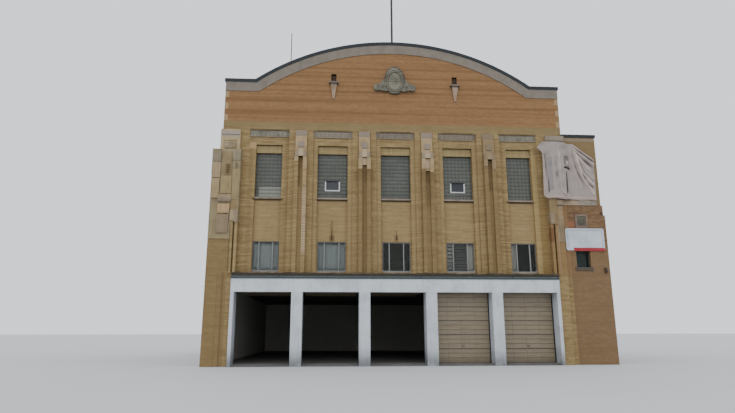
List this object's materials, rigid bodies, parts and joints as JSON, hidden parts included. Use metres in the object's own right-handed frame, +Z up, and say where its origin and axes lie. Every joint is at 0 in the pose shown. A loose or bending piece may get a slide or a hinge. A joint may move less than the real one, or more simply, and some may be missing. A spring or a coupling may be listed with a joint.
{
  "type": "fire station building",
  "caption": "Two-storey brick fire station over engine bays, with ribbed piers, glass block windows, an arched gable and a narrow side wing.",
  "frame": {"origin": "on the ground under the middle of the facade, in the plane of its brick wall face", "axes": "+X to the right along the facade as seen from the street, +Y into the building, +Z up"},
  "size_m": [21.29, 20.55, 23.11],
  "materials": {
    "concrete": "floated",
    "buff_brick": "matt face brick",
    "orange_brick": "matt face brick",
    "limestone": "weathered, dressed",
    "glass_block": "ribbed glass block",
    "window_glass": "clear",
    "white_paint": "satin white",
    "grey_metal": "weathered sheet",
    "white_render": "painted smooth",
    "door_wood": "varnished",
    "roofing": "mineral felt",
    "dark_steel": "satin",
    "tarp_cloth": "woven sheet"
  },
  "bodies": {
    "root": {"ground_slab": "concrete", "upper_floors": "concrete", "wing_floors": "concrete", "front_wall": "buff_brick", "left_wall": "buff_brick", "right_wall": "buff_brick", "rear_wall": "buff_brick", "pier_1": "buff_brick", "pier_2": "buff_brick", "pier_3": "buff_brick", "pier_4": "buff_brick", "corner_piers": "buff_brick", "wing_front": "orange_brick", "wing_side": "orange_brick", "wing_rear": "orange_brick", "gable_wall": "orange_brick", "gable_band": "limestone", "frieze_panels": "limestone", "vent_brackets": "limestone", "medallion": "limestone", "capitals": "limestone", "corner_heads": "limestone", "corner_caps": "limestone", "window_sills": "limestone", "wing_band": "limestone", "wing_plaque": "limestone", "block_windows": "glass_block", "window_glass": "window_glass", "hopper_panes": "window_glass", "window_frames": "white_paint", "hopper_frames": "white_paint", "sign_board": "white_paint", "gable_coping": "grey_metal", "flashing": "grey_metal", "side_copings": "grey_metal", "rear_coping": "grey_metal", "wing_coping": "grey_metal", "fascia": "white_render", "door_pillars": "white_render", "bay_doors": "door_wood", "roof_vault": "roofing", "mast": "dark_steel", "roof_rod": "dark_steel", "wing_lamp": "dark_steel", "tarp": "tarp_cloth"}
  },
  "joints": []
}
